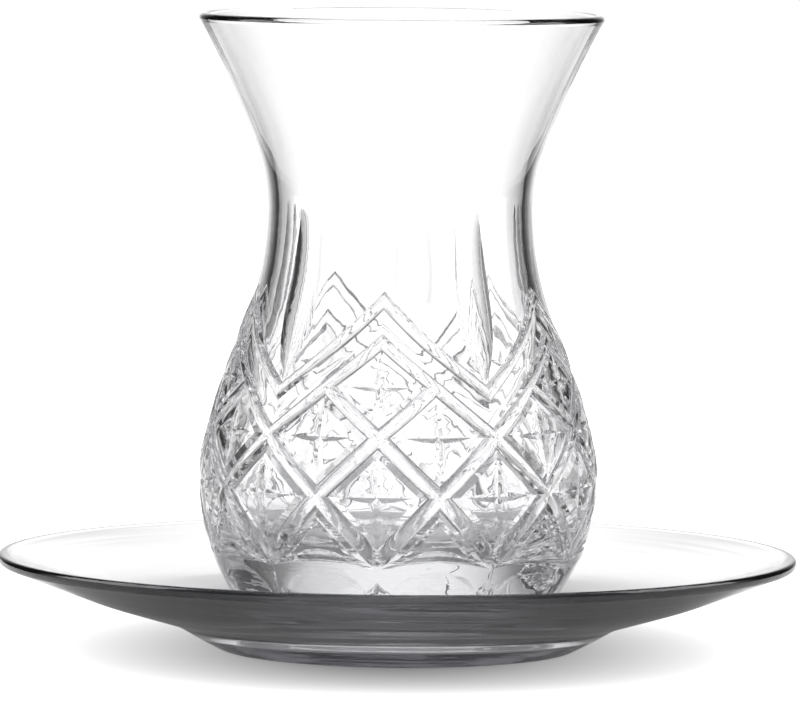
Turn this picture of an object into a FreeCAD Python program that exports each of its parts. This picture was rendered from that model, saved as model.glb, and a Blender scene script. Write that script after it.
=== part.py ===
import FreeCAD, Part
import Sketcher
import math
import os

# A pressed tea glass with a cut-pattern bulb, standing in the well of its own clear saucer.
# Both are turned shapes about one upright axis; every length is in mm.

doc = FreeCAD.newDocument("tea_glass_set")

# ---------------------------------------------------------------- driving sizes
SIZES = [
    # glass, heights above its own foot
    ("glass_high", 92.7), ("rim_r", 31.0), ("rim_wall", 1.7),
    ("waist_r", 20.3), ("waist_high", 63.0), ("waist_wall", 1.7),
    ("bulb_r", 29.95), ("bulb_high", 21.7), ("bulb_wall", 3.05), ("bulb_in_high", 23.0),
    ("side_lean", 19.0), ("side_lean_in", 17.0), ("foot_arc", 34.75), ("bulb_arc", 31.0),
    ("bulb_in_arc", 27.0), ("flare_lean", 22.0), ("flare_arc", 28.0), ("flare_in_arc", 31.0),
    ("floor_high", 11.5), ("floor_arc", 8.5),
    # cut pattern: how far it stands proud, and the heights of the lattice rows
    ("relief", 0.55), ("strap_half", 0.16), ("valley_row", 11.3), ("first_row", 21.1),
    ("second_row", 30.0), ("third_row", 37.4), ("fourth_row", 44.0), ("peak_row", 51.3),
    ("leaf_foot", 38.3), ("leaf_tip", 63.8), ("leaf_half_angle", 8.2), ("leaf_deep", 0.75),
    ("flute_deep", 0.8), ("chevron_turn", -6.0),
    # saucer, heights above the table
    ("saucer_r", 61.25), ("saucer_high", 14.7), ("edge_thick", 1.75), ("slope_r", 48.0),
    ("slope_high", 10.6), ("ring_r", 38.0), ("ring_high", 8.3), ("well_edge_r", 29.6),
    ("well_edge_high", 6.7), ("well_r", 27.6), ("well_high", 4.8), ("turn_under_r", 47.0),
    ("turn_under_high", 7.7), ("under_r", 34.5), ("under_high", 4.1), ("heel_r", 30.5),
    ("heel_high", 1.8), ("foot_out_r", 27.0), ("foot_in_r", 24.6), ("foot_hollow", 1.2),
]
# points that follow from the sizes: where one curve hands over to the next without a corner
FOLLOWING = [
    ("bead", "=rim_wall*0.52"),
    ("foot_r", "=bulb_r-foot_arc+sqrt(foot_arc^2-bulb_high^2)"),
    ("turn_sum", "=((waist_high-bulb_high)*sin(side_lean)-(bulb_r-waist_r)*cos(side_lean))"
                 "/(1-cos(side_lean))"),
    ("waist_arc", "=turn_sum-bulb_arc"),
    ("belly_r", "=bulb_r-bulb_arc*(1-cos(side_lean))"),
    ("belly_high", "=bulb_high+bulb_arc*sin(side_lean)"),
    ("neck_r", "=waist_r+waist_arc*(1-cos(side_lean))"),
    ("neck_high", "=waist_high-waist_arc*sin(side_lean)"),
    ("flare_r", "=waist_r+flare_arc*(1-cos(flare_lean))"),
    ("flare_high", "=waist_high+flare_arc*sin(flare_lean)"),
    ("lip_high", "=glass_high-bead+sqrt(bead^2-(rim_wall/2)^2)"),
    ("lip_arc", "=((rim_r-flare_r)^2+(lip_high-flare_high)^2)"
                "/(2*((rim_r-flare_r)*cos(flare_lean)-(lip_high-flare_high)*sin(flare_lean)))"),
    ("waist_in", "=waist_r-waist_wall"),
    ("bulb_in", "=bulb_r-bulb_wall"),
    ("turn_in_sum", "=((waist_high-bulb_in_high)*sin(side_lean_in)"
                    "-(bulb_in-waist_in)*cos(side_lean_in))/(1-cos(side_lean_in))"),
    ("waist_in_arc", "=turn_in_sum-bulb_in_arc"),
    ("belly_in", "=bulb_in-bulb_in_arc*(1-cos(side_lean_in))"),
    ("belly_in_high", "=bulb_in_high+bulb_in_arc*sin(side_lean_in)"),
    ("neck_in", "=waist_in+waist_in_arc*(1-cos(side_lean_in))"),
    ("neck_in_high", "=waist_high-waist_in_arc*sin(side_lean_in)"),
    ("flare_in", "=waist_in+flare_in_arc*(1-cos(flare_lean))"),
    ("flare_in_high", "=waist_high+flare_in_arc*sin(flare_lean)"),
    ("rim_in", "=rim_r-rim_wall"),
    ("lip_in_arc", "=((rim_in-flare_in)^2+(lip_high-flare_in_high)^2)"
                   "/(2*((rim_in-flare_in)*cos(flare_lean)"
                   "-(lip_high-flare_in_high)*sin(flare_lean)))"),
    ("corner_high", "=floor_high+floor_arc"),
    ("floor_r", "=bulb_in-floor_arc"),
    ("edge_round", "=edge_thick*0.52"),
    ("edge_r", "=saucer_r-edge_round+sqrt(edge_round^2-(edge_thick/2)^2)"),
    ("edge_low", "=saucer_high-edge_thick"),
]
sheet = doc.addObject("Spreadsheet::Sheet", "dims")
for row, (alias, value) in enumerate(SIZES + FOLLOWING, 1):
    sheet.set("A%d" % row, alias)
    sheet.set("B%d" % row, str(value))
    sheet.setAlias("B%d" % row, alias)
doc.recompute()
size = {alias: float(sheet.get(alias)) for alias, _ in SIZES + FOLLOWING}


# ---------------------------------------------------------------- turned bodies
def value_of(term):
    """The number behind a profile term, such as 'bulb_r' or 'bulb_r + relief'."""
    total = 0.0
    for word in term.split(" + "):
        total += size[word] if word in size else float(word)
    return total


def bound(term):
    """The same term written as an expression on the sheet."""
    return " + ".join("dims." + w if w in size else w for w in term.split(" + "))


def turned(name, corners, curves):
    """A body turned about Z. corners: (radius, height) terms in order round the outline;
    curves: {leg number: (arc radius term, 1 when the centre lies to the left of the leg)}."""
    body = doc.addObject("PartDesign::Body", name)
    sketch = body.newObject("Sketcher::SketchObject", name + "_outline")
    plane = [f for f in body.Origin.OriginFeatures if f.Role == "XZ_Plane"][0]
    sketch.AttachmentSupport = [(plane, "")]
    sketch.MapMode = "FlatFace"
    spots = [(value_of(r), value_of(h)) for r, h in corners]
    count = len(spots)
    for i, (x0, y0) in enumerate(spots):
        x1, y1 = spots[(i + 1) % count]
        if i in curves:
            arc, left = curves[i]
            half = math.dist((x0, y0), (x1, y1)) / 2
            rise = math.sqrt(max(value_of(arc) ** 2 - half ** 2, 0.0))
            side = 1 if left else -1
            cx = (x0 + x1) / 2 - side * (y1 - y0) / (2 * half) * rise
            cy = (y0 + y1) / 2 + side * (x1 - x0) / (2 * half) * rise
            ends = [math.atan2(y0 - cy, x0 - cx), math.atan2(y1 - cy, x1 - cx)]
            circle = Part.Circle(FreeCAD.Vector(cx, cy, 0), FreeCAD.Vector(0, 0, 1), value_of(arc))
            sketch.addGeometry(Part.ArcOfCircle(circle, *(ends if left else ends[::-1])))
        else:
            sketch.addGeometry(Part.LineSegment(FreeCAD.Vector(x0, y0, 0), FreeCAD.Vector(x1, y1, 0)))
    starts = [2 if i in curves and not curves[i][1] else 1 for i in range(count)]
    for i, (r, h) in enumerate(corners):
        back = (i - 1) % count
        sketch.addConstraint(Sketcher.Constraint("Coincident", back, 3 - starts[back], i, starts[i]))
        for kind, term, spot in (("DistanceX", r, spots[i][0]), ("DistanceY", h, spots[i][1])):
            where = sketch.addConstraint(Sketcher.Constraint(kind, -1, 1, i, starts[i], spot))
            sketch.setExpression("Constraints[%d]" % where, bound(term))
    for i, (arc, _) in curves.items():
        where = sketch.addConstraint(Sketcher.Constraint("Radius", i, value_of(arc)))
        sketch.setExpression("Constraints[%d]" % where, bound(arc))
    doc.recompute()
    turn = body.newObject("PartDesign::Revolution", name + "_turned")
    turn.Profile = sketch
    turn.ReferenceAxis = (sketch, ["V_Axis"])
    turn.Angle = 360
    body.Tip = turn
    doc.recompute()
    return body


def outer_line(shift):
    """The outside of the glass from foot to neck, moved outward by the shift."""
    return [("foot_r" + shift, "0"), ("bulb_r" + shift, "bulb_high"),
            ("belly_r" + shift, "belly_high"), ("neck_r" + shift, "neck_high"),
            ("waist_r" + shift, "waist_high")]


blank = turned("glass_blank",
               [("0", "0")] + outer_line("")
               + [("flare_r", "flare_high"), ("rim_r", "lip_high"), ("rim_in", "lip_high"),
                  ("0", "lip_high")],
               {1: ("foot_arc", 1), 2: ("bulb_arc", 1), 4: ("waist_arc", 0), 5: ("flare_arc", 0),
                6: ("lip_arc", 0), 7: ("bead", 1)})
proud = turned("proud_skin", [("0", "0")] + outer_line(" + relief") + [("0", "waist_high")],
               {1: ("foot_arc", 1), 2: ("bulb_arc", 1), 4: ("waist_arc", 0)})
hollow = turned("glass_hollow", [
    ("0", "floor_high"), ("floor_r", "floor_high"), ("bulb_in", "corner_high"),
    ("bulb_in", "bulb_in_high"),
    ("belly_in", "belly_in_high"), ("neck_in", "neck_in_high"), ("waist_in", "waist_high"),
    ("flare_in", "flare_in_high"), ("rim_in", "lip_high"), ("rim_in", "glass_high + 5"),
    ("0", "glass_high + 5")],
    {1: ("floor_arc", 1), 3: ("bulb_in_arc", 1), 5: ("waist_in_arc", 0),
     6: ("flare_in_arc", 0), 7: ("lip_in_arc", 0)})


# ---------------------------------------------------------------- the cut pattern
# Places on the bulb are given as (turn, row, depth): one turn unit is half a diamond, 18 degrees,
# one row unit is half a diamond's height, and depth is how far under the proud skin.
STEP = 18.0
LID = 1.5
ROWS = [size[n] for n in ("valley_row", "first_row", "second_row", "third_row", "fourth_row",
                          "peak_row")]


def height_of(row):
    """Height of a row number; below the lattice and above it the end spacing goes on."""
    low = max(0, min(int(math.floor(row)), len(ROWS) - 2))
    return ROWS[low] + (row - low) * (ROWS[low + 1] - ROWS[low])


def radius_at(high):
    """Radius of the proud skin at a height."""
    s = size
    if high <= s["bulb_high"]:
        r = s["bulb_r"] - s["foot_arc"] + math.sqrt(s["foot_arc"] ** 2 - (s["bulb_high"] - high) ** 2)
    elif high <= s["belly_high"]:
        r = s["bulb_r"] - s["bulb_arc"] + math.sqrt(s["bulb_arc"] ** 2 - (high - s["bulb_high"]) ** 2)
    elif high <= s["neck_high"]:
        share = (high - s["belly_high"]) / (s["neck_high"] - s["belly_high"])
        r = s["belly_r"] + share * (s["neck_r"] - s["belly_r"])
    elif high <= s["waist_high"]:
        drop = s["waist_high"] - high
        r = s["waist_r"] + s["waist_arc"] - math.sqrt(s["waist_arc"] ** 2 - drop ** 2)
    else:
        r = s["waist_r"] + s["flare_arc"] - math.sqrt(s["flare_arc"] ** 2 - (high - s["waist_high"]) ** 2)
    return r + s["relief"]


def spot(angle, high, depth):
    """A point under the proud skin; the angle is counted from the front, -Y, towards +X."""
    r = radius_at(high) - depth
    a = math.radians(angle)
    return FreeCAD.Vector(r * math.sin(a), -r * math.cos(a), high)


def solid_of(triangles):
    """A closed solid from corner triples, facing outward."""
    faces = [Part.Face(Part.makePolygon([a, b, c, a])) for a, b, c in triangles]
    solid = Part.Solid(Part.Shell(faces))
    if solid.Volume < 0:
        solid.reverse()
    if not solid.isValid():
        raise RuntimeError("a cutter did not close")
    return solid


def cutter(places, triangles):
    """A cutting solid: floor facets under the skin, the same facets as a lid above it, and walls.
    places: (angle, height, depth); triangles: index triples."""
    floor = [spot(*p) for p in places]
    lid = [spot(a, h, -LID) for a, h, _ in places]
    edges = [(t[k], t[(k + 1) % 3]) for t in triangles for k in range(3)]
    sides = [e for e in edges if (e[1], e[0]) not in edges]
    skin = [(floor[c], floor[b], floor[a]) for a, b, c in triangles]
    skin += [(lid[a], lid[b], lid[c]) for a, b, c in triangles]
    for a, b in sides:
        skin += [(floor[a], floor[b], lid[b]), (floor[a], lid[b], lid[a])]
    return solid_of(skin)


def mapped(middle, row, places):
    """Places given in turn and row units about a middle angle and row."""
    return [(middle + u * STEP, height_of(row + v), d) for u, v, d in places]


def fan(ring, hub):
    """Triangles from each side of a ring of indices to one hub index."""
    return [(ring[i], ring[(i + 1) % len(ring)], hub) for i in range(len(ring))]


def star_diamond(middle, row):
    """A diamond field with a four-armed star: four small peaks between the arms' grooves."""
    edge, deep = 1 - size["strap_half"] * 1.15, size["relief"]
    places, triangles = [(0, 0, deep * 0.95)], []
    for k in range(4):
        turn = lambda u, v: [(u, v), (-v, u), (-u, -v), (v, -u)][k]
        long_arm = 0.66 if k % 2 else 0.52
        places.append(turn(edge, 0) + (deep,))
        places.append(turn(edge / 2, edge / 2) + (deep,))
        places.append(turn(long_arm, 0) + (deep * 0.8,))
        places.append(turn(0.26, 0.26) + (deep * 0.12,))
    for k in range(4):
        corner, mid, arm, peak = (1 + 4 * k + n for n in range(4))
        next_corner, next_arm = 1 + 4 * ((k + 1) % 4), 3 + 4 * ((k + 1) % 4)
        triangles += fan([0, arm, corner, mid, next_corner, next_arm], peak)
    return cutter(mapped(middle, row, places), triangles)


def foot_triangle(middle):
    """The field between two lowest strap corners: an arched base and a small raised gable."""
    deep, edge = size["relief"], 1 - size["strap_half"] * 1.15
    outer = [(0, edge), (-0.42, edge - 0.42), (-edge, 0), (-0.6, -0.22), (0, -0.36), (0.6, -0.22),
             (edge, 0), (0.42, edge - 0.42)]
    inner = [(u * 0.55, 0.13 + (v - 0.13) * 0.55) for u, v in outer]
    places = [(u, v, deep) for u, v in outer] + [(u, v, deep * 0.2) for u, v in inner]
    places.append((0, 0.13, deep * 0.6))
    n = len(outer)
    triangles = fan(list(range(n, 2 * n)), 2 * n)
    for i in range(n):
        j = (i + 1) % n
        triangles += [(i, j, n + j), (i, n + j, n + i)]
    return cutter(mapped(middle, 0, places), triangles)


def grid_cutter(lines):
    """A cutting solid from equal lines of places."""
    across = len(lines[0])
    places = [p for line in lines for p in line]
    triangles = []
    for j in range(len(lines) - 1):
        for i in range(across - 1):
            a, b = j * across + i, j * across + i + 1
            triangles += [(a, b, b + across), (a, b + across, a + across)]
    return cutter(places, triangles)


def gap(middle, side):
    """The groove between the lattice and the chevron above it, one half of a gable."""
    deep = size["relief"]
    lines = []
    rows = [4.18, 4.42, 4.66]
    for k in range(5):
        u = 2 - 0.5 * k
        line = [(middle + side * u * STEP, height_of(r - u), deep * f)
                for r, f in zip(rows, (1, 1.35, 1))]
        lines.append(line if side > 0 else line[::-1])
    return grid_cutter(lines)


def leaf(middle):
    """A tall hollowed leaf between two chevrons, pointed below and fading out at the waist."""
    lines, count, across = [], 9, 6
    for j in range(count):
        share = j / (count - 1)
        high = size["leaf_foot"] + share * (size["leaf_tip"] - size["leaf_foot"])
        half = size["leaf_half_angle"] * (0.08 + 0.92 * math.sin(math.pi * min(share, 0.9)) ** 0.75)
        deep = size["relief"] + size["leaf_deep"] * math.sin(math.pi * share * 0.98 + 0.02)
        lines.append([(middle + half * (2 * i / across - 1), high,
                       deep * (1 - (2 * i / across - 1) ** 2) + 0.1) for i in range(across + 1)])
    return grid_cutter(lines)


def flute(middle):
    """A hollowed panel with an arched top, from the lattice down past the foot."""
    lines, across = [], 6
    for high, wide in ((-0.6, 0.86), (2.0, 0.88), (4.5, 0.84), (6.5, 0.7), (7.8, 0.42)):
        line = []
        for i in range(across + 1):
            u = 2 * i / across - 1
            deep = size["relief"] * 0.3 + size["flute_deep"] * (1 - u * u) * min(1, wide / 0.7)
            line.append((middle + u * wide * STEP, high, deep))
        lines.append(line)
    return grid_cutter(lines)


def crown():
    """Everything under the tops of the five chevrons, as one block with a zigzag top."""
    count, far, near = 20, 45.0, 8.0
    rim = []
    for k in range(count):
        row = 3 + abs(2 - k % 4)
        a = math.radians(size["chevron_turn"] + k * STEP)
        rim.append([FreeCAD.Vector(r * math.sin(a), -r * math.cos(a), h)
                    for r in (near, far) for h in (-1.0, height_of(row))])
    skin = []
    for k in range(count):
        a, b = rim[k], rim[(k + 1) % count]
        for p, q in ((0, 1), (1, 3), (3, 2), (2, 0)):
            skin += [(a[p], b[p], b[q]), (a[p], b[q], a[q])]
    return solid_of(skin)


def feature(name, solids):
    """A plain feature holding one solid or several that do not touch."""
    made = doc.addObject("Part::Feature", name)
    made.Shape = solids[0] if len(solids) == 1 else Part.makeCompound(solids)
    return made


def joined(kind, name, base, tool):
    """A boolean of two features."""
    made = doc.addObject(kind, name)
    made.Base, made.Tool = base, tool
    doc.recompute()
    print(name, round(made.Shape.Volume, 1), made.Shape.isValid(), len(made.Shape.Solids))
    return made


tops = [size["chevron_turn"] + 4 * STEP * k for k in range(5)]
valleys = [t - 2 * STEP for t in tops]
ridges = [size["chevron_turn"] + 2 * STEP * k for k in range(10)]
between = [t + STEP for t in ridges]

zone = feature("pattern_zone", [crown()])
skin = joined("Part::Common", "pattern_skin", proud, zone)
pressed = joined("Part::Fuse", "pressed_glass", blank, skin)
fields = feature("field_cuts", [star_diamond(a, 1) for a in ridges]
                 + [star_diamond(a, 2) for a in between] + [star_diamond(a, 3) for a in tops]
                 + [foot_triangle(a) for a in between])
cut_fields = joined("Part::Cut", "cut_fields", pressed, fields)
gaps = feature("gap_cuts", [gap(t, 1) for t in tops])
cut_gaps = joined("Part::Cut", "cut_gaps_right", cut_fields, gaps)
gaps_left = feature("gap_cuts_left", [gap(t, -1) for t in tops])
cut_gaps = joined("Part::Cut", "cut_gaps_left", cut_gaps, gaps_left)
flutes = feature("flute_cuts", [flute(a) for a in between])
cut_flutes = joined("Part::Cut", "cut_flutes", cut_gaps, flutes)
leaves = feature("leaf_cuts", [leaf(a) for a in valleys])
cut_leaves = joined("Part::Cut", "cut_leaves", cut_flutes, leaves)
glass = joined("Part::Cut", "tea_glass", cut_leaves, hollow)
glass.setExpression("Placement.Base.z", "dims.well_high")

# ---------------------------------------------------------------- the saucer
saucer = turned("saucer", [
    ("0", "foot_hollow"), ("foot_in_r", "foot_hollow"), ("foot_in_r", "0"), ("foot_out_r", "0"),
    ("heel_r", "heel_high"), ("under_r", "under_high"), ("turn_under_r", "turn_under_high"),
    ("edge_r", "edge_low"), ("edge_r", "saucer_high"), ("slope_r", "slope_high"),
    ("ring_r", "ring_high"), ("well_edge_r", "well_edge_high"), ("well_r", "well_high"),
    ("0", "well_high")],
    {7: ("edge_round", 1)})

# ---------------------------------------------------------------- check and write
doc.recompute()
for item in doc.Objects:
    if "Invalid" in item.State or "Error" in item.State:
        raise RuntimeError("%s did not build" % item.Name)
parts = {"tea_glass": glass, "saucer": saucer}
for name, item in parts.items():
    item.Label = name
    if item.Shape.isNull() or not item.Shape.isValid() or len(item.Shape.Solids) != 1:
        raise RuntimeError("%s is not one sound solid" % name)
os.makedirs("parts", exist_ok=True)
for name, item in parts.items():
    item.Shape.exportStep("parts/%s.step" % name)
    print(name, "volume cm3", round(item.Shape.Volume / 1000, 2), item.Shape.BoundBox)
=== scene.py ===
# %% [markdown]
# # A cut tea glass on its saucer
# The object is a small waisted glass for tea, pressed from clear glass, with a lattice of straps
# and little stars round its bulb. It stands in the well of a plain clear saucer. Both are turned
# shapes about one upright axis, so one rule makes both of them: draw the surface as a flat sheet,
# then wrap the sheet round the axis. Heights and radii are written in millimetres and become
# metres as they go into a mesh. The steps are: the view, the light, the outline, the rows, the
# lattice, the wrapping, the finish, the glass and the saucer.

# %% Load the measured frame
import bmesh
import bpy
import math
import numpy as np
from mathutils import Vector, Matrix
from mathutils.geometry import delaunay_2d_cdt


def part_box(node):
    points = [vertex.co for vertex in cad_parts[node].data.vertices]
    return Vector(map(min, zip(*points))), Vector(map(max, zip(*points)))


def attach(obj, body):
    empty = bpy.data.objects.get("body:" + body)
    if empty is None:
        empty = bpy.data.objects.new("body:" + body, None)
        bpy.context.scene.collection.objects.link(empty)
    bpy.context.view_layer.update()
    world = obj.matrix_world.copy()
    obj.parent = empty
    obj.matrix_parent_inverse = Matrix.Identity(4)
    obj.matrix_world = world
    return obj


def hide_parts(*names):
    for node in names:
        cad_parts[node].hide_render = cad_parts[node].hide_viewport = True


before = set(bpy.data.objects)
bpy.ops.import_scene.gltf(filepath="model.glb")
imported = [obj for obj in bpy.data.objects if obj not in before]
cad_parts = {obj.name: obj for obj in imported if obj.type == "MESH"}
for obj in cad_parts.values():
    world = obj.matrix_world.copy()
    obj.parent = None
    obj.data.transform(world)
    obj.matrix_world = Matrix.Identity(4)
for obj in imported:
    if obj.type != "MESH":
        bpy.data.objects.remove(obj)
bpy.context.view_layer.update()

MM = 0.001
glass_low, glass_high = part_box("tea_glass")
saucer_low, saucer_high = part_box("saucer")
print("glass from", list(glass_low), "to", list(glass_high))
print("saucer from", list(saucer_low), "to", list(saucer_high))

# %% [markdown]
# ## The view
# A long lens from about 1.2 m keeps the rim almost a straight line, as the eye sees a glass at
# table height. The camera stands a little above the rim, so the saucer opens as a thin ellipse
# while the mouth stays nearly closed. It leans by half a degree, as a hand-held one does.

# %% Camera
VIEW_AWAY, VIEW_HIGH, AIM_HIGH = 1200 * MM, 134.5 * MM, 43.8 * MM
LENS, ROLL, AIM_SIDE = 353.4, math.radians(0.5), 0.15 * MM


def looking(from_spot, at_spot, roll):
    """The matrix of a camera or lamp that looks at a spot, rolled about its own line of sight."""
    away = (Vector(from_spot) - Vector(at_spot)).normalized()
    turn = away.to_track_quat("Z", "Y").to_matrix().to_4x4()
    return Matrix.Translation(from_spot) @ turn @ Matrix.Rotation(roll, 4, "Z")


lens = bpy.data.cameras.new("view")
lens.lens, lens.sensor_width = LENS, 36.0
lens.clip_start, lens.clip_end = 0.05, 20
camera = bpy.data.objects.new("view", lens)
bpy.context.scene.collection.objects.link(camera)
camera.matrix_world = looking((AIM_SIDE, -VIEW_AWAY, VIEW_HIGH), (AIM_SIDE, 0, AIM_HIGH), ROLL)
bpy.context.scene.camera = camera
bpy.context.scene.view_settings.view_transform = "Standard"
print("camera stands", round(VIEW_AWAY * 1000), "mm away")

# %% [markdown]
# ## Light for clear glass
# Clear glass has no colour of its own: it shows its surroundings, bent. In front of an even white
# field a glass is drawn by dark lines, because its edges bend the eye's line towards the dark
# sides of the room. A studio does this with white cloth and black cards round the glass. Here a
# plain white world and one lamp give the light, and a tent with windows and cards stands where
# only the glass sees it. These helpers keep each node on one line.

# %% Helpers for nodes, materials and meshes
WHITE = (1, 1, 1, 1)


def linked(tree, kind, values=None, inputs=None, **settings):
    """A node with its settings, its plain values and its links, in one line."""
    node = tree.nodes.new(kind)
    for name, value in settings.items():
        setattr(node, name, value)
    for slot, value in (values or {}).items():
        node.inputs[slot].default_value = value
    for slot, source in (inputs or {}).items():
        tree.links.new(source, node.inputs[slot])
    return node


def sums(tree, operation, *terms):
    """A Math node on numbers or sockets; its answer is the socket returned."""
    node = tree.nodes.new("ShaderNodeMath")
    node.operation = operation
    for slot, term in enumerate(terms):
        if isinstance(term, (int, float)):
            node.inputs[slot].default_value = term
        else:
            tree.links.new(term, node.inputs[slot])
    return node.outputs[0]


def axes_of(tree, socket):
    """The X, Y and Z of a vector socket."""
    return linked(tree, "ShaderNodeSeparateXYZ", inputs={0: socket}).outputs


def object_spot(tree):
    """Where a point lies on its object."""
    return linked(tree, "ShaderNodeTexCoord").outputs["Object"]


def bare_material(name):
    """A new material with nothing in it yet, and its tree."""
    made = bpy.data.materials.new(name)
    made.use_nodes = True
    made.node_tree.nodes.clear()
    return made, made.node_tree


def shown(tree, socket):
    """Makes a shader the surface of its material."""
    linked(tree, "ShaderNodeOutputMaterial", inputs={0: socket})


def plain_mesh(name, points, faces=(), edges=()):
    """A new object from points, edges and faces."""
    mesh = bpy.data.meshes.new(name)
    mesh.from_pydata([tuple(p) for p in points], list(edges), list(faces))
    mesh.validate()
    made = bpy.data.objects.new(name, mesh)
    bpy.context.scene.collection.objects.link(made)
    return made


print("helpers ready")

# %% [markdown]
# ## World, windows and cards
# The world is plain white. The tent is a tall round wall. Its brightness follows a curve of the
# turn round the glass: a white window behind, in front and at each side, so that the glass is
# clear from there, and dark cards between. The camera and the matt surfaces don't see it.

# %% The world
room = bpy.data.worlds.new("room")
bpy.context.scene.world = room
room.use_nodes = True
tree = room.node_tree
tree.nodes.clear()
light = linked(tree, "ShaderNodeBackground", {0: WHITE, 1: 1.0})
linked(tree, "ShaderNodeOutputWorld", inputs={0: light.outputs[0]})
print("world", room.name)

# %% How white the surroundings are, by degrees from straight behind the glass
CARDS = [(0, 1.0), (10, 0.97), (18, 0.7), (26, 0.25), (38, 0.03), (62, 0.03), (74, 0.5), (82, 1.0),
         (100, 1.0), (108, 0.7), (118, 0.3), (142, 0.3), (154, 0.5), (164, 0.9), (172, 1.0), (180, 1.0)]


def cards(tree):
    """How white the surroundings are at each turn round the glass: 1 in a window, near 0 on a card."""
    axes = axes_of(tree, object_spot(tree))
    turn = sums(tree, "ABSOLUTE", sums(tree, "DEGREES", sums(tree, "ARCTAN2", axes["X"], axes["Y"])))
    ramp = linked(tree, "ShaderNodeFloatCurve", inputs={"Value": sums(tree, "DIVIDE", turn, 180.0)})
    curve = ramp.mapping.curves[0]
    curve.points[0].location, curve.points[-1].location = (0, CARDS[0][1]), (1, CARDS[-1][1])
    for at, white in CARDS[1:-1]:
        curve.points.new(at / 180, white)
    for point in curve.points:
        point.handle_type = "VECTOR"
    ramp.mapping.update()
    return ramp.outputs[0]


print("cards and windows:", len(CARDS), "marks over half a turn")

# %% The tent
TENT, TENT_HIGH, TENT_SIDES = 0.36, 0.72, 96
TENT_WHITE = 1.2                    # over plain white, as the glass turns some light away
cloth, tree = bare_material("tent_cloth")
strength = sums(tree, "MULTIPLY", cards(tree), TENT_WHITE)
shown(tree, linked(tree, "ShaderNodeEmission", {0: WHITE}, {1: strength}).outputs[0])

turns = [math.tau * k / TENT_SIDES for k in range(TENT_SIDES)]
hems = [(TENT * math.sin(a), TENT * math.cos(a), z) for z in (0, TENT_HIGH) for a in turns]
strips = [(k, (k + 1) % TENT_SIDES, TENT_SIDES + (k + 1) % TENT_SIDES, TENT_SIDES + k)
          for k in range(TENT_SIDES)]
tent = plain_mesh("tent", hems, strips)
tent.data.shade_smooth()
tent.data.materials.append(cloth)
tent.visible_camera = tent.visible_diffuse = tent.visible_shadow = False
print("tent", TENT, "m round the glass")

# %% [markdown]
# ## Lamp and floor
# One large soft lamp stands behind and above. The floor is matt white paper that also glows to the eye:
# little near the foot and more away from it, in an oval narrower across than along the view. So the
# paper runs into the white behind it, and the shadow round the foot is partly cast by the lamp and the
# world and partly a painted shadow made by this glow. The glass sees the cards laid on the paper too,
# from a hand's width outwards.

# %% The lamp
LAMP_AT, LAMP_POWER, LAMP_SIZE = (0.1, 0.2, 0.8), 2.0, 0.6
lamp = bpy.data.lights.new("softbox", "AREA")
lamp.energy, lamp.size = LAMP_POWER, LAMP_SIZE
softbox = bpy.data.objects.new("softbox", lamp)
bpy.context.scene.collection.objects.link(softbox)
softbox.matrix_world = looking(LAMP_AT, (0, 0, 0), 0.0)
softbox.visible_camera = False
print("lamp", LAMP_POWER, "W,", LAMP_SIZE, "m wide")

# %% The floor, with a painted shadow round the foot
FLOOR, PAPER = 3.0, (0.8, 0.8, 0.8, 1)
# Painted shadow: the paper's glow to the eye is dim near the foot and bright away from it, over these
# distances
PAINTED_SHADOW_FROM, PAINTED_SHADOW_TO, PAINTED_SHADOW_LOW, PAINTED_SHADOW_HIGH = 0.027, 0.08, 0.2, 0.85    # distances, then brightness
PAINTED_SHADOW_OVAL = (1.6, 1.0, 1.0)     # the shadow is narrower across than along the view
GLASS_LIFT = 0.12                   # what the glass sees on top of the paper's own white
CARDS_FROM, CARDS_TO, CARDS_SHARE, CARD_GLOW = 0.08, 0.13, 0.62, 0.02
paper, tree = bare_material("white_sweep_painted_shadow")
matt = linked(tree, "ShaderNodeBsdfDiffuse", {0: PAPER})
path = linked(tree, "ShaderNodeLightPath").outputs
on_paper = object_spot(tree)
from_axis = linked(tree, "ShaderNodeVectorMath", inputs={0: on_paper}, operation="LENGTH").outputs["Value"]
painted_shadow_oval = linked(tree, "ShaderNodeVectorMath", {1: PAINTED_SHADOW_OVAL}, {0: on_paper}, operation="MULTIPLY")
from_painted_shadow = linked(tree, "ShaderNodeVectorMath", inputs={0: painted_shadow_oval.outputs[0]},
                     operation="LENGTH").outputs["Value"]
# The painted shadow: the paper's glow to the eye, low inside the oval round the foot and high outside it
lift = linked(tree, "ShaderNodeMapRange", {1: PAINTED_SHADOW_FROM, 2: PAINTED_SHADOW_TO, 3: PAINTED_SHADOW_LOW, 4: PAINTED_SHADOW_HIGH},
              {0: from_painted_shadow}).outputs[0]
by_glass = sums(tree, "ADD", path["Is Transmission Ray"], path["Is Glossy Ray"])
seen = sums(tree, "ADD", sums(tree, "MULTIPLY", path["Is Camera Ray"], lift),
            sums(tree, "MULTIPLY", by_glass, GLASS_LIFT))
glow_with_painted_shadow = linked(tree, "ShaderNodeEmission", {0: WHITE}, {1: seen})
both = linked(tree, "ShaderNodeAddShader", inputs={0: matt.outputs[0], 1: glow_with_painted_shadow.outputs[0]})
card = linked(tree, "ShaderNodeEmission", {0: WHITE, 1: CARD_GLOW})
reach = linked(tree, "ShaderNodeMapRange", {1: CARDS_FROM, 2: CARDS_TO, 4: CARDS_SHARE},
               {0: from_axis}, interpolation_type="SMOOTHSTEP").outputs[0]
black = sums(tree, "MULTIPLY", sums(tree, "SUBTRACT", 1.0, cards(tree)),
             sums(tree, "MULTIPLY", reach, path["Is Transmission Ray"]))
laid = linked(tree, "ShaderNodeMixShader", inputs={0: black, 1: both.outputs[0], 2: card.outputs[0]})
shown(tree, laid.outputs[0])
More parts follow.
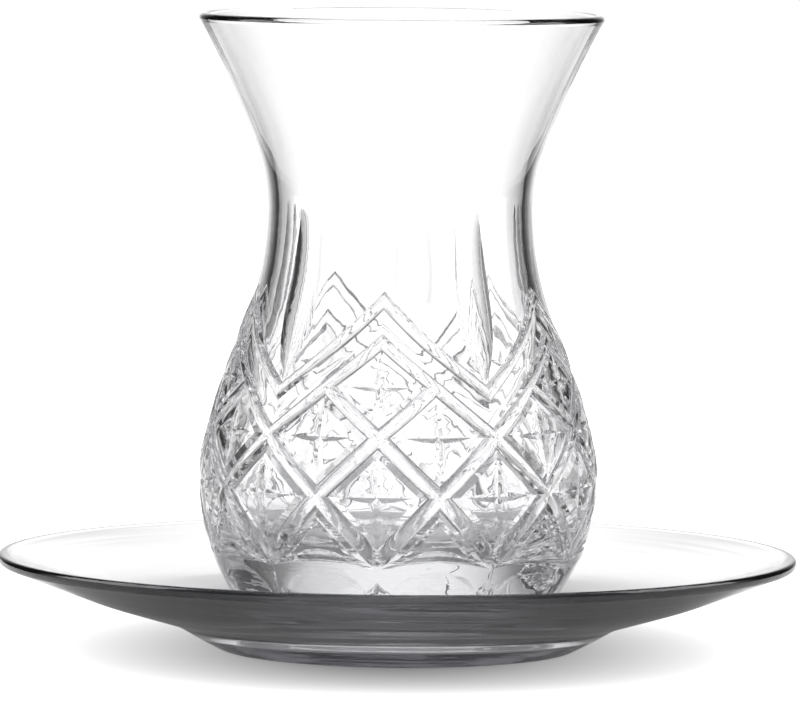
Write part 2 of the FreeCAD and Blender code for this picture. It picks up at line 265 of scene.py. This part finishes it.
floor = plain_mesh("floor", [(-FLOOR, -FLOOR, 0), (FLOOR, -FLOOR, 0), (FLOOR, FLOOR, 0),
                             (-FLOOR, FLOOR, 0)], [(0, 1, 2, 3)])
floor.data.materials.append(paper)
print("floor laid")

# %% How often light may turn inside the glass
cycles = bpy.context.scene.cycles
cycles.max_bounces = cycles.transmission_bounces = 32
cycles.glossy_bounces = 16
cycles.caustics_refractive = cycles.caustics_reflective = False
print("light may turn", cycles.max_bounces, "times")

# %% [markdown]
# ## Side panels
# The round straps of a cut glass catch a streak of light along their crests. Two upright panels,
# left and right in front of the glass, give it. They show only as gloss, so the rest stays plain.

# %% Two side panels
PANEL_AWAY, PANEL_HEIGHTS, PANEL_WHITE = 0.2, (0.04, 0.2), 4.0
PANEL_TURNS = range(60, 101, 8)     # degrees from straight in front of the glass
shine, tree = bare_material("side_panel")
shown(tree, linked(tree, "ShaderNodeEmission", {0: WHITE, 1: PANEL_WHITE}).outputs[0])
for hand in (-1, 1):
    spots = [(hand * PANEL_AWAY * math.sin(math.radians(a)), -PANEL_AWAY * math.cos(math.radians(a)), z)
             for z in PANEL_HEIGHTS for a in PANEL_TURNS]
    posts = len(PANEL_TURNS)
    panel = plain_mesh("panel", spots, [(n, n + 1, posts + n + 1, posts + n) for n in range(posts - 1)])
    panel.data.materials.append(shine)
    panel.visible_camera = panel.visible_diffuse = False
    panel.visible_transmission = panel.visible_shadow = False
print("side panels hung")

# %% [markdown]
# ## The outline of the glass
# A maker turns the mould for such a glass from a drawing of one side. The drawing is a few arcs
# that run into each other: out from the foot to the bulb, in along a straight side to the waist,
# and out again to the rim. The same few sizes as in the measured solid give every radius here.

# %% Radius of the outside and of the inside at any height
REST = glass_low[2] / MM            # the foot stands this high, on the saucer's well
SIZES = dict(foot_arc=34.75, bulb_r=29.95, bulb=21.7, bulb_arc=31.0, lean=math.radians(19),
             waist_r=20.3, waist=63.0, flare_arc=28.0, flare=math.radians(22), rim_r=31.0,
             lip=91.85, wall=1.7)
INSIDE = dict(bulb_r=26.9, bulb=23.0, bulb_arc=27.0, lean=math.radians(17),
              waist_r=18.6, waist=63.0, flare_arc=31.0, flare=math.radians(22), rim_r=29.3,
              lip=91.85, floor=11.5, floor_arc=8.5)


def side_radius(high, s):
    """Radius in mm at a height in mm above the foot, for the outside or the inside."""
    turn = ((s["waist"] - s["bulb"]) * math.sin(s["lean"])
            - (s["bulb_r"] - s["waist_r"]) * math.cos(s["lean"])) / (1 - math.cos(s["lean"]))
    waist_arc = turn - s["bulb_arc"]
    belly = s["bulb"] + s["bulb_arc"] * math.sin(s["lean"])
    belly_r = s["bulb_r"] - s["bulb_arc"] * (1 - math.cos(s["lean"]))
    neck = s["waist"] - waist_arc * math.sin(s["lean"])
    flare = s["waist"] + s["flare_arc"] * math.sin(s["flare"])
    flare_r = s["waist_r"] + s["flare_arc"] * (1 - math.cos(s["flare"]))
    if high <= s["bulb"] and "foot_arc" not in s:               # the inside is upright here
        return s["bulb_r"]
    if high <= s["bulb"]:
        arc = s["foot_arc"]
        return s["bulb_r"] - arc + math.sqrt(max(arc ** 2 - (s["bulb"] - high) ** 2, 0))
    if high <= belly:
        return s["bulb_r"] - s["bulb_arc"] + math.sqrt(s["bulb_arc"] ** 2 - (high - s["bulb"]) ** 2)
    if high <= neck:
        return belly_r - (high - belly) * math.tan(s["lean"])
    if high <= s["waist"]:
        return s["waist_r"] + waist_arc - math.sqrt(waist_arc ** 2 - (s["waist"] - high) ** 2)
    if high <= flare:
        return s["waist_r"] + s["flare_arc"] - math.sqrt(s["flare_arc"] ** 2 - (high - s["waist"]) ** 2)
    dr, dz = s["rim_r"] - flare_r, s["lip"] - flare
    arc = (dr ** 2 + dz ** 2) / (2 * (dr * math.cos(s["flare"]) - dz * math.sin(s["flare"])))
    cr, cz = flare_r + arc * math.cos(s["flare"]), flare - arc * math.sin(s["flare"])
    return cr - math.sqrt(arc ** 2 - (high - cz) ** 2)


print("outside at waist", round(side_radius(63, SIZES), 2), "rim", round(side_radius(91.8, SIZES), 2))
print("inside at waist", round(side_radius(63, INSIDE), 2), "rim", round(side_radius(91.8, INSIDE), 2))

# %% [markdown]
# ## Rows
# The pattern is drawn on a flat sheet. Its width is counted in turn units of 18 degrees, half a
# diamond each, and its height in row units, which come closer together as the glass narrows, so
# that a diamond stays a diamond. The whole wall is one sheet: it starts at the middle of the foot,
# climbs the outside, goes over the rim, down the inside and ends at the middle of the floor.

# %% A table of radius and height for every sixteenth of a row
PER_ROW = 16
FIRST, FOOT_ROW, TOP = -2.0, -1.25, 7.0    # the middle of the foot, its edge, the pattern's end
ROW_HEIGHTS = [(FOOT_ROW, 0.8), (0, 11.3), (1, 21.1), (2, 30.0), (3, 37.4), (4, 44.0), (5, 51.3),
               (6, 57.7), (TOP, 64.2)]
GAP = 0.06                          # a breath of air under the foot keeps the two pieces apart
FOOT_ROUND, FOOT_HOLLOW, FOOT_UP = 0.9, 0.35, 0.74

table = []
foot_r = side_radius(ROW_HEIGHTS[0][1], SIZES)
for k in range(9):                                              # under the foot, slightly hollow
    r = (foot_r - FOOT_ROUND) * k / 8
    table.append((r, GAP + FOOT_HOLLOW * (1 - (r / foot_r) ** 2)))
for k in range(1, 4):                                           # the foot's rounded edge
    a = math.pi / 2 * k / 4
    table.append((foot_r - FOOT_ROUND + FOOT_ROUND * math.sin(a), GAP + FOOT_UP * (1 - math.cos(a))))
for k in range(int((TOP - FOOT_ROW) * PER_ROW) + 1):            # the patterned side
    row = FOOT_ROW + k / PER_ROW
    high = float(np.interp(row, *zip(*ROW_HEIGHTS)))
    table.append((side_radius(high, SIZES), high))
lip = SIZES["lip"]
for k in range(1, 25):                                          # the plain neck
    high = ROW_HEIGHTS[-1][1] + (lip - ROW_HEIGHTS[-1][1]) * k / 24
    table.append((side_radius(high, SIZES), high))
bead = SIZES["wall"] / 2
for k in range(1, 13):                                          # over the rim
    a = math.pi * k / 12
    table.append((SIZES["rim_r"] - bead + bead * math.cos(a), lip + bead * math.sin(a)))
corner = INSIDE["floor_arc"]
corner_high = INSIDE["floor"] + corner
for k in range(1, 53):                                          # down the inside
    high = lip + (corner_high - lip) * k / 52
    table.append((side_radius(high, INSIDE), high))
for k in range(1, 13):                                          # the rounded corner of the floor
    a = math.pi / 2 * k / 12
    table.append((INSIDE["bulb_r"] - corner + corner * math.cos(a), corner_high - corner * math.sin(a)))
last = table[-1][0]
for k in range(1, 9):                                           # the floor
    table.append((last * (1 - k / 8), table[-1][1]))
END = FIRST + (len(table) - 1) / PER_ROW
glass_line = [(r * MM, 0, (h + REST) * MM) for r, h in table]
print("rows", len(table), "from", FIRST, "to", END)

# %% [markdown]
# ## The lattice as a net of creases
# Round straps cross over the bulb and leave diamonds between them. In each diamond a groove runs
# along the straps, and inside it lies a low cushion cut across by a star. All of these meet along
# lines, so the pattern is a net: corners with a height, and creases that join them. A constrained
# Delaunay triangulation fills such a net with triangles and keeps each crease as an edge, which a
# plain grid cannot do for slanting lines. A strap is round because six creases follow its section.
# The net covers one chevron, a fifth of the way round; the rest repeats it.

# %% The net's corners and creases
RIDGE = 0.55                        # how far the ridge between two flutes stands out, in mm
STRAP = [(0.0, 0.6), (0.05, 0.58), (0.1, 0.51), (0.14, 0.39), (0.17, 0.23), (0.19, 0.04)]
GROOVE_FROM, GROOVE = STRAP[-1]     # from a strap's middle in row units, and its height in mm
CUSHION_FROM, CUSHION = 0.33, 0.38  # the same for the edge of the cushion
heights, creases = {}, set()


def corner_at(u, v, h):
    """Notes a corner; returns its key, or None beyond the sheet's sides."""
    key = (round(u, 4), round(v, 4))
    if abs(key[0]) > 2:
        return None
    heights.setdefault(key, h)
    return key


def crease(points, closed=False):
    """Joins corners (turn, row, height) in order."""
    keys = [corner_at(*p) for p in points]
    pairs = list(zip(keys, keys[1:] + keys[:1])) if closed else list(zip(keys, keys[1:]))
    for a, b in pairs:
        if a and b and a != b:
            creases.add((min(a, b), max(a, b)))


def star_diamond(uc, vc):
    """A diamond between round straps: a groove, then a cushion cut across by a four-armed star."""
    for inset, h in STRAP + [(CUSHION_FROM, CUSHION)]:
        s = 1 - inset
        ring = [(s, 0), (s / 2, s / 2), (0, s), (-s / 2, s / 2), (-s, 0), (-s / 2, -s / 2), (0, -s),
                (s / 2, -s / 2)]
        crease([(uc + u, vc + v, h) for u, v in ring], True)
    edge, foot = 1 - CUSHION_FROM, 1 - GROOVE_FROM
    middle = (uc, vc, 0.14)
    for a in (1, -1):
        crease([middle, (uc + a * 0.28, vc, -0.04), (uc + a * 0.56, vc, CUSHION),
                (uc + a * edge, vc, CUSHION), (uc + a * foot, vc, GROOVE)])
        crease([middle, (uc, vc + a * 0.32, 0.2), (uc, vc + a * 0.6, CUSHION),
                (uc, vc + a * edge, CUSHION), (uc, vc + a * foot, GROOVE)])
        for b in (1, -1):
            inner = (uc + a * 0.09, vc + b * 0.08, 0.45)
            crease([(uc + a * 0.56, vc, CUSHION), (uc + a * 0.28, vc + b * 0.062, 0.42), inner,
                    (uc + a * 0.1, vc + b * 0.32, 0.42), (uc, vc + b * 0.6, CUSHION)])
            crease([inner, (uc + a * edge / 2, vc + b * edge / 2, CUSHION),
                    (uc + a * foot / 2, vc + b * foot / 2, GROOVE)])


def gable_field(uc):
    """The field between two lowest strap corners: a gable with an arched base, one in another."""
    rings = [(0.12, 0.0, 0.46), (0.145, 0.02, 0.37), (0.17, 0.035, 0.22), (0.19, 0.05, 0.04),
             (0.3, 0.12, 0.4), (0.36, 0.16, 0.12), (0.42, 0.2, 0.38)]
    for inset, lift, h in rings:
        s = 1 - inset
        low = -0.14 + lift * 1.1
        side = s - low - 0.02
        ring = [(0, s), (s / 2, s / 2), (s - low - 0.06, low + 0.06), (side - 0.04, low),
                (side * 0.5, low + 0.08), (0, low + 0.11)]
        ring += [(-u, v) for u, v in ring[-2:0:-1]]
        crease([(uc + u, v, h) for u, v in ring], True)


def fade_out(u, h, halfway):
    """Carries a crease on from the foot's edge, at height h, until it is flat under the foot."""
    crease([(u, FOOT_ROW, h), (u, FOOT_ROW - 0.25, halfway), (u, FOOT_ROW - 0.5, 0), (u, FIRST, 0)])


def flute(uc):
    """A hollow panel with an arched top that runs down through the foot."""
    arch = [(0, -0.17), (0.3, -0.2), (0.58, -0.31), (0.78, -0.52), (0.87, -0.82), (0.9, FOOT_ROW)]
    fans = []
    for share in (1, 0.93, 0.8, 0.62, 0.42, 0.2):
        h = 0.46 - 0.8 * (1 - share ** 2) ** 0.8
        half = [(u * share, FOOT_ROW + (v - FOOT_ROW) * share, h) for u, v in arch]
        line = [(uc - u, v, h) for u, v, h in half[:0:-1]] + [(uc + u, v, h) for u, v, h in half]
        crease(line)
        fans.append(line)
    for line in fans:
        for u, _, h in (line[0], line[-1]):
            fade_out(u, h, h / 2)
    fade_out(uc, -0.34, -0.15)


for uc, vc in [(-2, 1), (0, 1), (2, 1), (-1, 2), (1, 2), (0, 3)]:
    star_diamond(uc, vc)
for uc in (-1, 1):
    gable_field(uc)
    flute(uc)
for uc in (-2, 0, 2):                                           # the ridge between two flutes
    fade_out(uc, RIDGE, RIDGE / 2)
print("corners so far", len(heights))

# %% The chevron over the lattice, the leaf beside it and the plain neck
UPPER = [(4.43, -0.08), (4.66, 0.04), (4.69, 0.23), (4.73, 0.4), (4.79, 0.52), (4.85, 0.56),
         (4.91, 0.52), (4.97, 0.4), (5.01, 0.2), (5.04, 0.0)]    # (row at the middle, height in mm)
for edge, h in [(4 + inset, h) for inset, h in STRAP[1:]] + UPPER:
    crease([(u, edge - abs(u), h) for u in np.linspace(-2, 2, 9)])

UNIT = 18                           # degrees in one turn unit
LEAF = [(3.25, 1.6), (3.5, 3.3), (3.75, 4.8), (4.0, 6.0), (4.25, 6.9), (4.5, 7.6), (4.75, 8.0),
        (5.0, 8.2), (5.25, 8.2), (5.5, 8.0), (5.75, 7.7), (6.0, 7.3), (6.25, 6.8), (6.5, 6.3),
        (6.75, 5.8)]                # (row, half the leaf's width in degrees)
LEAF_DEEP, LEAF_FOOT, LEAF_TALL = 0.75, 3.0, 4.0    # in mm, then in rows


def leaf_deep(row):
    """How deep the leaf's hollow is in a row, in mm."""
    share = min(max((row - LEAF_FOOT) / LEAF_TALL, 0), 1)
    return LEAF_DEEP * math.sin(math.pi * share) ** 0.7


for side in (-2, 2):
    inward = -1 if side > 0 else 1
    tip = (side, 3.07, 0.0)
    for share in (0, 0.3, 0.6, 0.85, 1):
        line = [(side + inward * half / UNIT * share, v, -leaf_deep(v) * (1 - share ** 2))
                for v, half in LEAF]
        crease([tip] + line + [(side + inward * share * 5.4 / UNIT, 6.97, 0.0)])
for u in np.linspace(-2, 2, 17):                                # plain corners beside the leaves
    corner_at(u, TOP, 0.0)
    for v in np.arange(3.25, TOP, 0.25):
        leaf_edge = float(np.interp(v, *zip(*LEAF))) / UNIT
        if abs(u) + v > 5.15 and 2 - abs(u) > leaf_edge + 0.1:
            corner_at(u, v, 0.0)

keys = sorted(heights)
index = {key: n for n, key in enumerate(keys)}
filled = delaunay_2d_cdt([Vector(k) for k in keys], [(index[a], index[b]) for a, b in creases],
                         [], 0, 1e-5)
net_points, net_faces, origins = filled[0], filled[2], filled[3]
lost = sum(1 for o in origins if not o)
print("net corners", len(net_points), "faces", len(net_faces), "corners with no height", lost)

# %% The flat sheet: the net, and plain squares from the neck over the rim to the floor
corners = [(p.x, p.y, heights.get((round(p.x, 4), round(p.y, 4)), 0.0) * MM) for p in net_points]
faces = [tuple(f) for f in net_faces]
across = [float(u) for u in np.linspace(-2, 2, 17)]
place = {(round(p[0], 4), round(p[1], 4)): n for n, p in enumerate(corners)}
STEP = 0.125                        # rows in one plain square
for v in np.arange(TOP + STEP, END + 0.01, STEP):
    for u in across:
        place[(u, round(float(v), 4))] = len(corners)
        corners.append((u, float(v), 0.0))
for v in np.arange(TOP, END - 0.01, STEP):
    low, high = round(float(v), 4), round(float(v) + STEP, 4)
    for a, b in zip(across, across[1:]):
        faces.append((place[(a, low)], place[(b, low)], place[(b, high)], place[(a, high)]))

sheet = plain_mesh("sheet_flat", corners, faces)
outline = plain_mesh("outline_glass", glass_line, edges=[(n, n + 1) for n in range(len(glass_line) - 1)])
print("sheet", len(sheet.data.vertices), "corners", len(sheet.data.polygons), "faces")

# %% [markdown]
# ## Wrapping a sheet round the axis
# The same Geometry Nodes tree makes both pieces. It cuts every face of the flat sheet finer, lays
# copies of the sheet side by side until they reach all the way round, looks up the radius and
# height of each point's row in the outline, adds the relief to the radius, and bends the whole
# sheet round. Points that meet at the seam or on the axis are merged, so the skin is closed.

# %% The tree that wraps
MERGED = 6e-6                       # points closer than this many metres become one
PAST = 1e-4                         # a hair past each row, so that rounding never lands below it


def wrapping_tree():
    """Flat sheet in, closed turned skin out."""
    tree = bpy.data.node_groups.new("wrap_round_axis", "GeometryNodeTree")
    face = tree.interface
    face.new_socket("Geometry", in_out="INPUT", socket_type="NodeSocketGeometry")
    for name, kind in (("Outline", "Object"), ("Repeats", "Int"), ("Sheet width", "Float"),
                       ("Turn of one unit", "Float"), ("Start turn", "Float"), ("First row", "Float"),
                       ("Rows in a unit", "Float"), ("Finer", "Int"), ("Finish", "Material")):
        face.new_socket(name, in_out="INPUT", socket_type="NodeSocket" + kind)
    face.new_socket("Geometry", in_out="OUTPUT", socket_type="NodeSocketGeometry")
    given = tree.nodes.new("NodeGroupInput").outputs
    fine = linked(tree, "GeometryNodeSubdivideMesh", inputs={0: given["Geometry"], 1: given["Finer"]})
    beside = linked(tree, "ShaderNodeCombineXYZ", inputs={0: given["Sheet width"]})
    line = linked(tree, "GeometryNodeMeshLine",
                  inputs={"Count": given["Repeats"], "Offset": beside.outputs[0]})
    copies = linked(tree, "GeometryNodeInstanceOnPoints",
                    inputs={"Points": line.outputs[0], "Instance": fine.outputs[0]})
    laid = linked(tree, "GeometryNodeRealizeInstances", inputs={0: copies.outputs[0]})

    spot = axes_of(tree, linked(tree, "GeometryNodeInputPosition").outputs[0])
    row = sums(tree, "MULTIPLY", sums(tree, "SUBTRACT", spot["Y"], given["First row"]),
               given["Rows in a unit"])
    row = sums(tree, "ADD", row, PAST)
    below = sums(tree, "FLOOR", row)
    share = sums(tree, "FRACT", row)
    shape = linked(tree, "GeometryNodeObjectInfo", inputs={"Object": given["Outline"]}).outputs["Geometry"]
    ends = []
    for step in (0, 1):
        found = linked(tree, "GeometryNodeSampleIndex", data_type="FLOAT_VECTOR", domain="POINT",
                       clamp=True)
        tree.links.new(shape, found.inputs["Geometry"])
        tree.links.new(linked(tree, "GeometryNodeInputPosition").outputs[0], found.inputs["Value"])
        tree.links.new(sums(tree, "ADD", below, step), found.inputs["Index"])
        ends.append(found.outputs[0])
    between = linked(tree, "ShaderNodeMix", data_type="VECTOR")
    tree.links.new(share, between.inputs["Factor"])
    tree.links.new(ends[0], between.inputs[4])
    tree.links.new(ends[1], between.inputs[5])
    at = axes_of(tree, between.outputs[1])
    radius = sums(tree, "ADD", at["X"], spot["Z"])
    angle = sums(tree, "ADD", sums(tree, "MULTIPLY", spot["X"], given["Turn of one unit"]),
                 given["Start turn"])
    side = sums(tree, "MULTIPLY", radius, sums(tree, "SINE", angle))
    front = sums(tree, "MULTIPLY", sums(tree, "MULTIPLY", radius, -1.0), sums(tree, "COSINE", angle))
    bent = linked(tree, "ShaderNodeCombineXYZ", inputs={0: side, 1: front, 2: at["Z"]})
    wrapped = linked(tree, "GeometryNodeSetPosition",
                     inputs={"Geometry": laid.outputs[0], "Position": bent.outputs[0]})
    merged = linked(tree, "GeometryNodeMergeByDistance", {"Distance": MERGED}, {0: wrapped.outputs[0]})
    whole = linked(tree, "GeometryNodeRealizeInstances", inputs={0: merged.outputs[0]})
    finish = linked(tree, "GeometryNodeSetMaterial",
                    inputs={"Geometry": whole.outputs[0], "Material": given["Finish"]})
    tree.links.new(finish.outputs[0], tree.nodes.new("NodeGroupOutput").inputs[0])
    return tree


WRAP = wrapping_tree()


def wrapped_piece(name, flat, values, crease_angle):
    """The flat object run through the wrapping tree, as a plain smooth mesh with sharp creases."""
    modifier = flat.modifiers.new("wrap", "NODES")
    modifier.node_group = WRAP
    sockets = {item.name: item.identifier for item in WRAP.interface.items_tree
               if item.item_type == "SOCKET" and item.in_out == "INPUT"}
    for key, value in values.items():
        modifier[sockets[key]] = value
    bpy.context.view_layer.update()
    ready = flat.evaluated_get(bpy.context.evaluated_depsgraph_get())
    mesh = bpy.data.meshes.new_from_object(ready)
    mesh.name = name
    flat.modifiers.remove(modifier)
    work = bmesh.new()
    work.from_mesh(mesh)
    bmesh.ops.dissolve_degenerate(work, dist=1e-7, edges=work.edges)
    bmesh.ops.recalc_face_normals(work, faces=work.faces)
    open_edges = sum(1 for e in work.edges if not e.is_manifold)
    work.to_mesh(mesh)
    work.free()
    mesh.shade_smooth()
    mesh.set_sharp_from_angle(angle=crease_angle)
    piece = bpy.data.objects.new(name, mesh)
    bpy.context.scene.collection.objects.link(piece)
    mesh.calc_loop_triangles()
    print(name, len(mesh.loop_triangles), "triangles,", open_edges, "open edges")
    return piece


# %% [markdown]
# ## Clear pressed glass
# Soda glass bends light by 1.52 and is almost colourless. Pressed glass is never quite flat: the
# mould leaves slow ripples that the fire polish softens, and they make the thin grey streaks that
# run along a wall. A very shallow bump of noise gives the ripples. They are strongest on the thick
# bulb and nearly gone on the neck. On the turned saucer the noise goes by radius and height, so
# that it lies in rings. A finer noise breaks up the gloss a little, as rinsing and stacking do.
# The thicker the glass, the greyer: each metre of it takes a share of the light.

# %% The glass finish
BENDS = 1.52
RIPPLES_LEFT, RIPPLES_FADE = 0.15, 0.012    # the share left above, and metres to get there
RING_DRIFT = 0.04                   # how little the rings change along their own way round
WEAR, WEAR_FROM, WEAR_TO, WEAR_ROUGH = 900.0, 0.35, 0.75, 0.02
TAKES = (0.5, 0.5, 0.53, 1)         # half of the density is taken, a little less of the blue


def clear_glass(name, tint, ripple_scale, ripple_depth, ripples_end, taken, turned=False):
    """A closed clear glass with ripples up to a height, in rings where it was turned; `taken` is
    the light it takes per metre."""
    made = bpy.data.materials.new(name)
    made.use_nodes = True
    tree = made.node_tree
    shader = tree.nodes["Principled BSDF"]
    shader.inputs["Base Color"].default_value = (*tint, 1)
    shader.inputs["Transmission Weight"].default_value = 1.0
    shader.inputs["IOR"].default_value = BENDS
    where = object_spot(tree)
    grain = where
    if turned:
        apart = axes_of(tree, where)
        away = sums(tree, "SQRT", sums(tree, "ADD", sums(tree, "POWER", apart["X"], 2.0),
                                       sums(tree, "POWER", apart["Y"], 2.0)))
        drift = linked(tree, "ShaderNodeVectorMath", {"Scale": RING_DRIFT}, {0: where}, operation="SCALE")
        ring = linked(tree, "ShaderNodeCombineXYZ", inputs={0: away, 2: apart["Z"]})
        grain = linked(tree, "ShaderNodeVectorMath", operation="ADD",
                       inputs={0: ring.outputs[0], 1: drift.outputs[0]}).outputs[0]
    ripple = linked(tree, "ShaderNodeTexNoise", {"Scale": ripple_scale, "Detail": 1.5}, {"Vector": grain})
    fade = linked(tree, "ShaderNodeMapRange",
                  {1: ripples_end, 2: ripples_end + RIPPLES_FADE, 3: 1.0, 4: RIPPLES_LEFT},
                  {0: axes_of(tree, where)["Z"]}, interpolation_type="SMOOTHSTEP").outputs[0]
    bump = linked(tree, "ShaderNodeBump", {"Strength": 1.0, "Distance": ripple_depth},
                  {"Height": sums(tree, "MULTIPLY", ripple.outputs["Fac"], fade)})
    tree.links.new(bump.outputs[0], shader.inputs["Normal"])
    wear = linked(tree, "ShaderNodeTexNoise", {"Scale": WEAR, "Detail": 2.0}, {"Vector": where})
    rough = linked(tree, "ShaderNodeMapRange", {1: WEAR_FROM, 2: WEAR_TO, 3: 0.0, 4: WEAR_ROUGH},
                   {0: wear.outputs["Fac"]}).outputs[0]
    tree.links.new(rough, shader.inputs["Roughness"])
    depth = linked(tree, "ShaderNodeVolumeAbsorption", {"Color": TAKES, "Density": 2 * taken})
    tree.links.new(depth.outputs[0], tree.nodes["Material Output"].inputs["Volume"])
    return made


body_glass = clear_glass("glass_body", tint=(0.995, 0.995, 1.0), ripple_scale=190.0,
                         ripple_depth=0.00009, ripples_end=0.050, taken=5.0)
dish_glass = clear_glass("saucer_glass", tint=(0.99, 0.99, 0.995), ripple_scale=420.0,
                         ripple_depth=0.00005, ripples_end=1.0, taken=34.0, turned=True)
print("finishes:", body_glass.name, "and", dish_glass.name)

# %% Wrap the glass
CHEVRONS, TURNED = 5, math.radians(-6)      # five chevrons, the first a little off the front
CUT_CREASE = math.radians(17)       # a steeper fold than this stays sharp
SHEET = {"Outline": outline, "Repeats": CHEVRONS, "Sheet width": 4.0,
         "Turn of one unit": math.radians(UNIT), "Start turn": TURNED, "First row": FIRST,
         "Rows in a unit": float(PER_ROW), "Finer": 1, "Finish": body_glass}
glass = wrapped_piece("tea_glass_cut", sheet, SHEET, CUT_CREASE)
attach(glass, "root")
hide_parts("tea_glass")

# %% [markdown]
# ## The saucer
# The saucer is a plain turned dish: a flange that rises gently from the well and more steeply
# towards its rounded edge, a flat well that the glass's foot fits, and a low foot ring under it.
# Its outline has small rounds at every corner, because hot glass never keeps a sharp one, and
# these rounds draw the bright and dark rings.

# %% The saucer's outline with its rounds
def rounded_line(marks, steps):
    """A line through (radius, height, round) marks with each corner turned into an arc."""
    line = []
    for n, (r, h, size) in enumerate(marks):
        here = np.array([r, h], float)
        if size == 0 or n in (0, len(marks) - 1):
            line.append(here)
            continue
        back, on = np.array(marks[n - 1][:2], float) - here, np.array(marks[n + 1][:2], float) - here
        reach = min(size, 0.49 * np.linalg.norm(back), 0.49 * np.linalg.norm(on))
        a, b = here + back / np.linalg.norm(back) * reach, here + on / np.linalg.norm(on) * reach
        for t in np.linspace(0, 1, steps + 1):
            line.append((1 - t) ** 2 * a + 2 * t * (1 - t) * here + t ** 2 * b)
    return line


SAUCER = [(0, 1.25, 0), (22.5, 1.25, 0), (24.6, 0.9, 0.6), (24.9, 0.0, 0.4), (27.0, 0.0, 0.6),
          (30.5, 1.8, 1.2), (34.5, 4.1, 1.6), (47.0, 7.7, 3.0), (59.6, 12.6, 0.6), (61.25, 13.2, 0.9),
          (61.2, 14.7, 0.9), (59.7, 14.5, 0.8), (48.0, 10.6, 4.0), (38.0, 8.3, 3.0), (29.6, 6.7, 1.6),
          (27.7, 4.8, 1.0), (26.0, 4.8, 0), (0, 4.8, 0)]
dish_line = rounded_line(SAUCER, 6)
dish_points = [(r * MM, 0, h * MM) for r, h in dish_line]
dish_rows = len(dish_points)
dish_outline = plain_mesh("outline_saucer", dish_points, edges=[(n, n + 1) for n in range(dish_rows - 1)])

# %% Wrap the saucer
SQUARES, DISH_REPEATS = 32, 8       # squares across one sheet, and sheets all the way round
DISH_CREASE = math.radians(40)
columns = SQUARES + 1
flat = [(u, v, 0.0) for v in range(dish_rows) for u in range(columns)]
squares = [(v * columns + u, v * columns + u + 1, (v + 1) * columns + u + 1, (v + 1) * columns + u)
           for v in range(dish_rows - 1) for u in range(SQUARES)]
dish_sheet = plain_mesh("sheet_saucer", flat, squares)
DISH = {"Outline": dish_outline, "Repeats": DISH_REPEATS, "Sheet width": float(SQUARES),
        "Turn of one unit": math.tau / (SQUARES * DISH_REPEATS), "Start turn": 0.0, "First row": 0.0,
        "Rows in a unit": 1.0, "Finer": 0, "Finish": dish_glass}
dish = wrapped_piece("saucer_dish", dish_sheet, DISH, DISH_CREASE)
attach(dish, "root")
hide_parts("saucer")

# %% Clear the drawing board
for spare in (sheet, outline, dish_sheet, dish_outline):
    bpy.data.objects.remove(spare)
